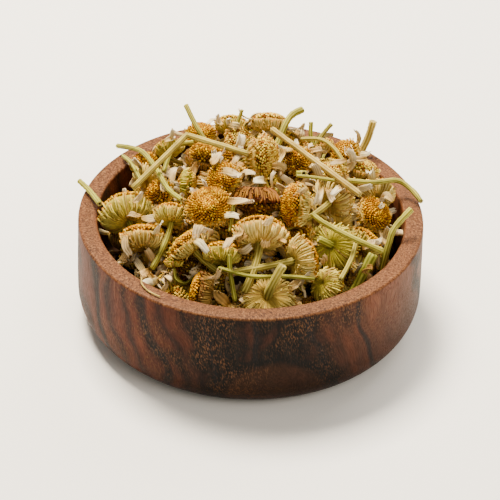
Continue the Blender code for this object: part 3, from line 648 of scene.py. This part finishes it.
def dried_stem_finish():
    """Stems: fibrous and ribbed, olive green where fresh-dried and straw tan where old, pale pith on the cut
    faces and painted shade at the bottom of each hollow.
    """
    finish, tree, shader, tip, ridge, age = new_dried_finish("dried stems")
    green = add_node(
        tree, "ValToRGB", {0: ridge}, [(0.0, "#646414"), (0.5, "#969430"), (1.0, "#B8B24A")]
    ).outputs[0]
    tan = add_node(
        tree, "ValToRGB", {0: ridge}, [(0.0, "#866A28"), (0.5, "#B89848"), (1.0, "#D6BC72")]
    ).outputs[0]
    body = add_node(tree, "Mix", {0: age, 6: green, 7: tan}, data_type="RGBA").outputs[2]
    patch = drying_patches(tree, 230.0, 4.0, 0.2, 0.6, 1.2)
    body = add_node(tree, "VectorMath", {0: body, 3: patch}, operation="SCALE").outputs[0]
    # Pale pith on the cut faces, and painted shade that darkens the bottom of each hollow
    cut_face_mask = add_node(tree, "MapRange", {0: tip, 1: 0.5, 2: 0.9, 3: 0.0, 4: 1.0}).outputs[0]
    pith_and_painted_hollow_shade = add_node(tree, "ValToRGB", {0: tip}, [(0.88, "#C6B26C"), (1.0, "#3E3814")]).outputs[0]
    body = add_node(tree, "Mix", {0: cut_face_mask, 6: body, 7: pith_and_painted_hollow_shade}, data_type="RGBA").outputs[2]
    set_surface(tree, shader, body, 0.62, 1.45, 0.12)
    return finish


florets = dried_florets_finish()
granules = dried_disc_finish()
petals = dried_petal_finish()
stems = dried_stem_finish()
FINISHES = [florets, granules, petals, stems]
FLORETS, GRANULES, PETALS, STEMS = range(4)


def facing(turn, tilt):
    """Direction at a turn about +Z from +X and a tilt above level, both in degrees."""
    turn = math.radians(turn)
    tilt = math.radians(tilt)
    return Vector((math.cos(tilt) * math.cos(turn), math.cos(tilt) * math.sin(turn), math.sin(tilt)))


def head_turn(turn, tilt):
    """The rotation that faces a head's +Z that way."""
    return np.array(facing(turn, tilt).to_track_quat("Z", "Y").to_matrix())


def heap_height(x, y):
    """Height at which the middles of the top heads lie."""
    return HEAP_TOP - HEAP_FALL * (x * x + (y - HEAP_CENTRE_Y) ** 2)


def add_head_petals(heap, draw, radius, count, age, rows=11, columns=9):
    """Adds ray petals round a rim: mostly folded back along the side, a few over the top."""
    start = draw.uniform(0, 2 * math.pi)
    for i in range(count):
        angle = start + 2 * math.pi * (i + draw.uniform(-0.3, 0.3)) / count
        out = np.array((math.cos(angle), math.sin(angle), 0.0))
        droop = math.radians(draw.uniform(-85, 40))
        along = out * math.cos(droop) + np.array((0, 0, math.sin(droop)))
        up = np.array((0, 0, math.cos(droop))) - out * math.sin(droop)
        root = out * radius * 0.88 + np.array((0, 0, 0.02 * radius))
        length = radius * draw.uniform(1.0, 1.45)
        width = radius * draw.uniform(0.36, 0.56)
        curl = draw.uniform(-1.5, 1.5)
        faded = min(max(age + draw.uniform(-0.3, 0.4), 0.0), 1.0)
        add_petal(heap, draw, root, along, up, length, width, curl, PETALS, faded, rows, columns)


# How old and how golden each kind of packed head is
BED_KINDS = ((0.1, 0.1), (0.5, 0.4), (0.8, 0.7), (0.3, 0.1), (0.5, 0.8), (0.2, 0.2), (0.5, 0.3))


def make_kinds():
    """Seven small heads, in the colours that they dry to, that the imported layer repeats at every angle."""
    draw = np.random.default_rng(11)
    kinds = []
    for k, (age, gold) in enumerate(BED_KINDS):
        kind = Gathered()
        radius = BED_RADIUS + 0.15 * k
        add_ribs(kind, draw, radius, FLORETS, age, pitch=0.6, spikes=24)
        add_dome(kind, draw, radius, 0.55, 0.05, GRANULES, gold, pitch=0.68)
        add_head_petals(kind, draw, radius, 5, 0.3, 6, 5)
        kinds.append((kind, radius))
    return kinds


def make_bed():
    """Packed heads over a mound darkened as painted shade, then petals and stem bits in the gaps, all inside
    the bowl.
    """
    draw = np.random.default_rng(12)
    kinds = make_kinds()
    layers = [Gathered(), Gathered(), Gathered()]
    for i in range(BED_HEADS):
        kind, radius = kinds[i % len(kinds)]
        reach = (inner_radius - radius * 1.3) * math.sqrt((i + 0.5) / BED_HEADS)
        x = reach * math.cos(i * GOLDEN_ANGLE)
        y = reach * math.sin(i * GOLDEN_ANGLE)
        height = max(heap_height(x, y) - BED_DEPTH, BED_LOWEST) + draw.uniform(-1.5, 0.8)
        turn = head_turn(draw.uniform(0, 360), draw.uniform(-60, 90))
        layers[i % 3].add_moved(kind, turn, np.array((x, y, height)))
    wall = inner_radius - 0.6
    floor = [(0.0, FLOOR_THICKNESS + 0.6), (wall - INNER_ROUNDING, FLOOR_THICKNESS + 0.6), (wall, CORE_EDGE)]
    tops = [(wall * s, max(HEAP_TOP - HEAP_FALL * (wall * s) ** 2 - CORE_DEPTH, CORE_EDGE)) for s in
            (0.85, 0.7, 0.55, 0.4, 0.2)]
    profile = floor + tops + [(0.0, HEAP_TOP - CORE_DEPTH)]
    # Painted shade: the core mound takes the darkest old-brown floret colour, for the shade deep in the heap
    layers[0].add_turned(profile, 32, FLORETS, 0.0, 0.1, 1.0)
    pieces = [layer.piece(f"packed_flowers_{k}", FINISHES) for k, layer in enumerate(layers, 1)]
    bits = Gathered()
    for i in range(BIT_COUNT):
        reach = (inner_radius - BIT_CLEARANCE) * math.sqrt(draw.random())
        angle = draw.uniform(0, 2 * math.pi)
        x = reach * math.cos(angle)
        y = reach * math.sin(angle)
        height = max(heap_height(x, y) - BIT_DEPTH, BIT_LOWEST) + draw.uniform(-3.0, 0.8)
        along = np.array(facing(draw.uniform(0, 360), draw.uniform(-35, 50)))
        up = unit(np.cross(along, np.array(facing(draw.uniform(0, 360), 10))))
        if i % BITS_TO_A_STEM == 0:
            middle = np.array((x, y, height))
            half = along * draw.uniform(2.0, 4.5)
            path = stem_path(middle - half, middle + up * 1.2, middle + half, 7)
            add_stem(bits, draw, path, draw.uniform(0.6, 1.2), STEMS, draw.uniform(0.0, 0.8), sides=8)
            continue
        size = draw.uniform(3.6, 5.6)
        width = size * draw.uniform(0.36, 0.56)
        curl = draw.uniform(-1.7, 1.7)
        age = draw.random()
        add_petal(bits, draw, (x, y, height), along, up, size, width, curl, PETALS, age, 9, 7)
    pieces.append(bits.piece("loose_petals_and_bits", FINISHES))
    return pieces


def stem_path(start, middle, end, steps=12):
    """Points on a curve that leaves start towards middle and comes to end."""
    share = np.linspace(0, 1, steps)[:, None]
    return start * (1 - share) ** 2 + middle * 2 * share * (1 - share) + end * share ** 2


for layer in make_bed():
    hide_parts("flower_bed")


# The top layer: dried flower heads, each a hollow base with hundreds of florets, lying as they fell.
# Those that face up show an orange disc; the rest show the pale ribbed underside and a cut stem.

# Centre in mm, turn and tilt of the face, width, kind, petals, where the stem ends from the centre,
# the stem's girth, age, and how golden it is. A disc has its orange top as a piece of its own
HEADS = (
    (4, -26, 21, 90, -60, 11.0, "ribbed", 1, (3, -1, 10), 2.0, 0.45, 0.5),
    (-10, -24, 21, 178, 8, 8.5, "disc", 1, (), 0, 0.9, 0.5),
    (16.5, -21.5, 22, 30, -40, 7.5, "ribbed", 2, (), 0, 0.15, 0.4),
    (-12, -16, 21, 300, 65, 6.5, "dome", 1, (), 0, 1.0, 0.85),
    (-17, -7, 29, 85, 30, 7.5, "ribbed", 2, (-4, -9, -8), 1.3, 0.2, 0.5),
    (-6, -18, 27, 90, 35, 7.5, "ribbed", 1, (), 0, 0.1, 0.6),
    (18, -13, 26, 60, -45, 10.0, "ribbed", 0, (-3.5, -2, 3.5), 1.7, 0.05, 0.45),
    (25, -8, 24, 45, 30, 7.5, "ribbed", 2, (), 0, 0.2, 0.5),
    (-23, -9, 24, 90, 40, 9.5, "disc", 5, (), 0, 0.5, 0.5),
    (-27, -1.5, 25, 100, 15, 11.5, "ribbed", 0, (9, -6, -1), 1.5, 0.15, 0.4),
    (11, -19, 27, 30, -5, 9.0, "ribbed", 1, (-14, -4, -1), 1.6, 0.45, 0.5),
    (27, 1, 25, 325, 50, 8.0, "disc", 6, (), 0, 0.4, 0.5),
    (28, 8, 26, 90, 10, 7.5, "ribbed", 3, (), 0, 0.5, 0.1),
    (25, 16, 27, 45, 70, 7.0, "ribbed", 7, (), 0, 0.5, 0.1),
    (21, 17, 30.6, 220, 60, 6.5, "dome", 4, (), 0, 0.3, 0.45),
    (15, 21, 30, 90, 60, 6.5, "ribbed", 6, (), 0, 0.5, 0.1),
    (8, 25, 29, 60, 50, 8.0, "ribbed", 4, (), 0, 0.4, 0.15),
    (0, 27, 28, 110, 40, 8.5, "ribbed", 3, (), 0, 0.1, 0.3),
    (-5, 24, 32.8, 90, 40, 7.0, "ribbed", 3, (), 0, 0.2, 0.15),
    (-12, 22, 31, 255, 80, 7.0, "disc", 3, (), 0, 0.5, 0.5),
    (-19, 18, 30, 105, 30, 6.0, "bud", 2, (), 0, 0.1, 0.1),
    (-24, 15, 27, 290, 70, 6.5, "dome", 4, (), 0, 0.3, 0.5),
    (-23, 9, 28, 70, 10, 6.5, "ribbed", 3, (), 0, 0.4, 0.1),
    (-20, 3, 28, 235, 50, 6.0, "dome", 4, (), 0, 0.3, 0.5),
    (-14, 1, 32, 355, 0, 6.0, "bud", 0, (), 0, 0.0, 0.1),
    (-9.5, 11, 32, 60, 80, 9.5, "dome", 2, (), 0, 0.85, 0.7),
    (-3, 18, 32, 315, 60, 7.0, "ribbed", 7, (), 0, 0.5, 0.1),
    (3.5, 22, 35, 90, 50, 7.5, "ribbed", 4, (), 0, 0.5, 0.12),
    (10, 10, 33, 255, 60, 6.8, "disc", 3, (), 0, 0.5, 0.6),
    (17, 10, 30, 90, 85, 8.0, "ribbed", 7, (), 0, 0.5, 0.1),
    (-13, -16, 28, 145, 40, 8.0, "ribbed", 2, (7, -5, -4), 1.5, 0.4, 0.45),
    (2, -16, 31, 90, 28, 10.5, "disc", 4, (-3, -10, -8), 1.8, 0.5, 0.45),
    (18, 0, 30, 60, 5, 9.0, "ribbed", 7, (-10, -9, -2), 1.5, 0.5, 0.2),
    (-9, -9, 32.3, 255, 72, 10.0, "disc", 3, (), 0, 0.6, 0.6),
    (0.9, -5, 32.5, 270, -55, 10.0, "ribbed", 2, (), 0, 1.0, 0.9),
    (9.6, -7.5, 33, 195, 15, 9.0, "disc", 2, (), 0, 0.4, 0.5),
    (-6, 0, 34, 235, 55, 7.6, "disc", 6, (), 0, 0.4, 0.5),
    (2.3, 7, 35, 335, 25, 10.0, "ribbed", 2, (), 0, 0.5, 0.15),
)


def make_head(number, row):
    """One top head at its place, and its orange disc as a second piece where it has one."""
    x, y, z, turn, tilt, size, kind, petal_count, stem, girth, age, gold = row
    draw = np.random.default_rng(100 + number)
    radius = size / 2
    turn_by = head_turn(turn, tilt)
    place = np.array((x, y, z), float)
    body = Gathered()
    add_ribs(body, draw, radius, FLORETS, age)
    disc = Gathered()
    if kind == "disc":
        add_dome(disc, draw, radius * 0.97, 0.50, 0.08, GRANULES, gold, comb=1.5)
    elif kind == "dome":
        add_dome(body, draw, radius * 0.97, 0.68, 0.06, GRANULES, gold, comb=1.4, ragged=0.3)
    elif kind == "bud":
        add_dome(body, draw, radius * 0.92, 0.62, 0.02, FLORETS, age)
    else:
        add_dome(body, draw, radius * 0.97, 0.52, 0.06, GRANULES, gold, ragged=0.2)
    add_head_petals(body, draw, radius, petal_count, 0.25 if age < 0.6 else 0.7)
    if stem:
        end = turn_by.T @ np.array(stem, float)
        start = np.array((0, 0, -0.3 * radius))
        middle = start - np.array((0, 0, 0.45 * np.linalg.norm(end - start)))
        add_stem(body, draw, stem_path(start, middle, end), girth, STEMS, age)
    placed = Gathered()
    placed.add_moved(body, turn_by, place)
    piece = placed.piece(f"bloom_{number:02d}", FINISHES)
    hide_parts(f"head_{number:02d}")
    if kind == "disc":
        placed = Gathered()
        placed.add_moved(disc, turn_by, place)
        piece = placed.piece(f"floret_disc_{number:02d}", FINISHES)
        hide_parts(f"disc_{number:02d}")


for number, row in enumerate(HEADS, 1):
    make_head(number, row)


# Loose cut stems: ribbed hollow stalks chopped to 10 to 30 mm in the harvest, olive green to straw.
# They lie across the heads, two of them out over the rim, and three stand up at the back.

# Thickness, age, the points in mm that each passes through, and whether it is kinked at them
LOOSE_STEMS = (
    (1.3, 0.1, ((-38.5, 8.6, 26.8), (-35.9, 5.4, 26.3), (-33.1, -1.7, 27.8)), False),
    (1.2, 0.2, ((37.5, 3.5, 27.3), (35.7, 7.5, 27.5), (32.3, 9, 29), (26.7, 5, 31), (21, 4, 32)), False),
    (1.2, 0.1, (
        (-31, 23.7, 26.6), (-25.3, 15.8, 30.6), (-21.5, 6.4, 32.6), (-18.2, -2.1, 32.6), (-15, -7, 33.1),
    ), False),
    (1.4, 0.6, ((-25.8, -1.9, 32.4), (-14.6, 10, 38.8), (-1, 4, 38.2)), True),
    (1.2, 0.3, ((-10.4, 17.6, 32), (-12.9, 19.8, 35), (-15.4, 23.8, 38)), False),
    (1.6, 0.2, ((4.5, 14, 31), (7.7, 20, 37.2), (11, 22.3, 38.7)), False),
    (1.5, 0.9, ((4.1, 13.4, 38.8), (13.7, 4, 36.8), (23.4, -5, 34.4)), False),
    (1.8, 0.8, ((24.8, 24.8, 26), (26.3, 25.5, 29.6), (27.3, 26.2, 33.6)), False),
    (1.3, 0.2, ((13, -11, 33.2), (15.5, -13, 32.4), (21.2, -15.8, 30.8), (28.2, -16.4, 27.8)), False),
    (1.5, 0.2, ((28.7, -11.3, 19), (29.9, -9.6, 24.5), (31.1, -8, 28), (34.7, -5, 31)), False),
    (2.4, 0.0, ((21.2, -20.8, 16.5), (26.4, -15, 26)), False),
)


def smooth_path(points, steps):
    """Points on a smooth curve through the given ones."""
    points = np.asarray(points, float)
    last = len(points) - 1
    path = []
    for i in range(last):
        leave = (points[i + 1] - points[max(i - 1, 0)]) / 2
        arrive = (points[min(i + 2, last)] - points[i]) / 2
        for k in range(steps):
            t = k / steps
            path.append(
                points[i] * (2 * t**3 - 3 * t**2 + 1) + leave * (t**3 - 2 * t**2 + t)
                + points[i + 1] * (3 * t**2 - 2 * t**3) + arrive * (t**3 - t**2)
            )
    path.append(points[last])
    return np.array(path)


def kinked_path(points, steps):
    """Points on straight runs between the given ones."""
    points = np.asarray(points, float)
    runs = [points[i] + (points[i + 1] - points[i]) * k / steps for i in range(len(points) - 1)
            for k in range(steps)]
    return np.array(runs + [points[-1]])


def make_stem(number, girth, age, points, kinked):
    """One loose stem through its points."""
    draw = np.random.default_rng(300 + number)
    path = kinked_path(points, 10) if kinked else smooth_path(points, 10)
    stem = Gathered()
    add_stem(stem, draw, path, girth, 0, age)
    piece = stem.piece(f"cut_stem_{number:02d}", [stems])
    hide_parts(f"stem_{number:02d}")


for number, (girth, age, points, kinked) in enumerate(LOOSE_STEMS, 1):
    make_stem(number, girth, age, points, kinked)


# The crumbs: petals, thin stalks and one bud that have broken off and lie on the heads in the top layer.
# They fill the hollows between the heads, and a pale thread of stalk lies on the rim in front.

# Where each loose petal lies in mm, which way it points in degrees, and its age
LOOSE_PETALS = (
    (-25.8, -7.3, 18.6, 40, 0.6), (-23.7, -13.8, 20.0, 120, 0.1), (-16.3, -17.8, 20.0, 200, 0.3),
    (-20.0, -17.7, 19.2, 310, 0.2), (-18.9, 16.5, 33.2, 60, 0.0), (-1.5, 23.9, 33.8, 20, 0.0),
    (6.7, 11.0, 35.4, 150, 0.1), (5.9, 6.6, 35.2, 250, 0.3), (6.5, 4.2, 34.6, 20, 0.4),
    (21.8, 14.3, 32.4, 100, 0.1), (23.1, 12.2, 31.6, 190, 0.1), (26.0, -13.0, 26.0, 30, 0.2),
    (29.5, -6.0, 24.5, 80, 0.3), (24.3, -18.0, 24.6, 140, 0.5), (-3.5, 19.1, 35.8, 10, 0.0),
    (-19.4, 0.6, 30.6, 100, 0.2), (-7.6, 3.4, 37.0, 60, 0.0), (-4.4, -3.2, 36.9, 330, 0.1),
    (10.3, -9.5, 37.6, 200, 0.2), (14.2, -6.5, 35.6, 260, 0.1), (20.3, -1.4, 34.4, 60, 0.4),
    (17.1, -3.4, 33.0, 290, 0.2), (29.5, 2.8, 28.8, 120, 0.0), (27.9, -1.6, 28.6, 250, 0.0),
    (-19.8, -5.0, 27.4, 80, 0.5), (-21.4, -7.4, 28.4, 20, 0.0), (-25.8, -6.0, 28.6, 150, 0.1),
    (-4.4, -12.6, 33.4, 340, 0.0), (-2.6, -10.4, 34.6, 20, 0.0), (-1.1, -19.0, 33.2, 215, 0.8),
    (6.4, -18.4, 32.6, 300, 0.7), (3.0, -21.0, 31.2, 255, 0.6), (-24.6, -3.6, 30.8, 60, 0.1),
    (16.0, 20.0, 33.6, 170, 0.0), (10.6, 22.4, 33.4, 60, 0.1), (-8.0, 21.0, 35.4, 120, 0.0),
    (19.0, 7.4, 34.6, 200, 0.2), (14.4, 11.8, 34.4, 20, 0.2), (24.6, 7.0, 31.0, 80, 0.1),
)
PETAL_SIZE = 4.8

# Thickness, age and points in mm of the thin stalks
THIN_STALKS = (
    (1.0, 0.1, ((-29.5, 20.5, 25.9), (-27.0, 13, 28.8), (-24.5, 3, 31.4))),
    (1.1, 0.2, ((-19.5, 5, 32.2), (-17.5, 12, 34.2), (-13.5, 15, 33.8))),
    (0.9, 0.3, ((-3.9, 20.0, 33.6), (-3.4, 20.2, 36.4), (-2.6, 20.8, 39.0))),
    (1.1, 0.1, ((13.6, 18.4, 31.0), (13.0, 19.6, 33.6), (13.0, 21.0, 36.2))),
    (1.0, 0.3, ((14.0, 18.6, 31.4), (15.6, 19.6, 33.8), (17.6, 20.8, 36.0))),
    (1.0, 0.5, ((10.6, 14, 36.0), (15.0, 13.4, 36.4), (18.0, 11.4, 35.4), (20.5, 8.0, 33.4))),
    (1.7, 0.1, ((10.2, 4.0, 33.4), (10.8, 1.0, 35.4), (11.2, -1.4, 37.0))),
    (0.8, 0.2, ((9.6, -3.4, 37.8), (13.6, -2.8, 37.0), (17.8, -1.6, 35.6))),
    (1.2, 0.4, ((22.7, -13.8, 28.6), (21.5, -18.2, 26.6), (19.2, -23.6, 25.2))),
    (0.9, 0.1, ((-6.5, -22.2, 26.4), (0.2, -25.4, 26.8), (7.4, -24.6, 26.4), (13.8, -24.0, 25.6))),
    (0.9, 0.2, ((-3.6, -9.8, 35.2), (-4.0, -12.2, 32.6), (-4.4, -14.6, 30.4))),
    (1.1, 0.1, ((-4.4, -20.7, 29.0), (-3.9, -23.2, 25.2), (-2.8, -26.0, 20.6))),
    (0.4, 0.9, ((-22.6, -25.2, 25.5), (-22.4, -27.4, 25.4), (-20.8, -29.8, 25.4), (-18.4, -31.6, 25.4))),
)

# The bud in front on the left, and its curled stalk
BUD_PLACE = (-16.2, -16.6, 23.6)
BUD_RADIUS = 1.9
BUD_STALK = (
    (-16.2, -17.6, 22.4), (-15.6, -19.4, 21.0), (-13.6, -20.2, 20.6), (-12.2, -19.0, 21.4),
    (-12.8, -18.0, 22.4),
)

crumbs = Gathered()
draw = np.random.default_rng(500)
for x, y, z, turn, age in LOOSE_PETALS:
    along = np.array(facing(turn, draw.uniform(-25, 15)))
    up = unit(np.cross(along, np.cross((0.1, -0.5, 1.0), along)))
    size = PETAL_SIZE * draw.uniform(0.8, 1.25)
    root = np.array((x, y, z)) - along * size / 2
    width = size * draw.uniform(0.3, 0.48)
    age = min(age + draw.uniform(0.0, 0.5), 1.0)
    add_petal(crumbs, draw, root, along, up, size, width, draw.uniform(-2.0, 2.0), PETALS, age)
for girth, age, points in THIN_STALKS:
    add_stem(crumbs, draw, smooth_path(points, 6), girth, STEMS, age, sides=10)
add_stem(crumbs, draw, smooth_path(BUD_STALK, 6), 0.8, STEMS, 0.1, sides=8)
bud = Gathered()
add_ribs(bud, draw, BUD_RADIUS, FLORETS, 0.1, pitch=0.5, spikes=10)
add_dome(bud, draw, BUD_RADIUS * 0.92, 0.75, 0.0, FLORETS, 0.1)
crumbs.add_moved(bud, head_turn(100, 60), np.array(BUD_PLACE))
crumb_piece = crumbs.piece("broken_petals_and_stalks", FINISHES)


# The stage: a plain pale floor, soft studio light from above and both sides, and the photograph's camera.
# The camera stands 460 mm from the rim's centre and looks down on it at 35 degrees through a long lens.

CAMERA_DISTANCE = 460.0
CAMERA_RISE = math.radians(34.75)
CAMERA_PITCH = math.radians(35.73)
CAMERA_ROLL = math.radians(1.61)
CAMERA_LENS = 150.4

floor_mesh = bpy.data.meshes.new("floor")
floor_mesh.from_pydata([(-2, -2, 0), (2, -2, 0), (2, 2, 0), (-2, 2, 0)], [], [(0, 1, 2, 3)])
floor = bpy.data.objects.new("floor", floor_mesh)
bpy.context.scene.collection.objects.link(floor)
floor_finish, _, floor_shader = new_finish("pale matt paper")
floor_shader.inputs["Base Color"].default_value = linear("#F6F3EC")
floor_shader.inputs["Roughness"].default_value = 0.9
floor_mesh.materials.append(floor_finish)

world = bpy.data.worlds.new("soft white room")
world.use_nodes = True
world.node_tree.nodes["Background"].inputs["Color"].default_value = linear("#FFF9EE")
world.node_tree.nodes["Background"].inputs["Strength"].default_value = 0.45
bpy.context.scene.world = world


def add_light(name, place, size, power, colour):
    """A square soft light at a place in metres, aimed at the heap."""
    lamp = bpy.data.lights.new(name, "AREA")
    lamp.size = size
    lamp.energy = power
    lamp.color = linear(colour)[:3]
    holder = bpy.data.objects.new(name, lamp)
    holder.location = place
    aim = Vector((0, 0, 0.02)) - Vector(place)
    holder.rotation_mode = "QUATERNION"
    holder.rotation_quaternion = aim.to_track_quat("-Z", "Y")
    bpy.context.scene.collection.objects.link(holder)


add_light("key", (-0.12, 0.20, 0.55), 0.22, 14.0, "#FFF4E2")
add_light("fill", (0.35, -0.40, 0.50), 0.40, 2.4, "#FFF6EA")
add_light("back", (0.25, 0.45, 0.40), 0.40, 3.0, "#FFFAF2")

camera_data = bpy.data.cameras.new("camera")
camera_data.lens = CAMERA_LENS
camera_data.sensor_width = 36.0
camera_data.clip_start = 0.01
camera = bpy.data.objects.new("camera", camera_data)
bpy.context.scene.collection.objects.link(camera)
look = Vector((0.0, math.cos(CAMERA_PITCH), -math.sin(CAMERA_PITCH)))
right = look.cross(Vector((0, 0, 1))).normalized()
above = right.cross(look)
level_right = right * math.cos(CAMERA_ROLL) + above * math.sin(CAMERA_ROLL)
level_above = above * math.cos(CAMERA_ROLL) - right * math.sin(CAMERA_ROLL)
stand = Vector((0, -math.cos(CAMERA_RISE), math.sin(CAMERA_RISE))) * CAMERA_DISTANCE * MM
camera.location = stand + Vector((0, 0, BOWL_HEIGHT * MM))
camera.rotation_mode = "QUATERNION"
axes = Matrix((level_right, level_above, -look)).transposed()
camera.rotation_quaternion = axes.to_quaternion()
bpy.context.scene.camera = camera
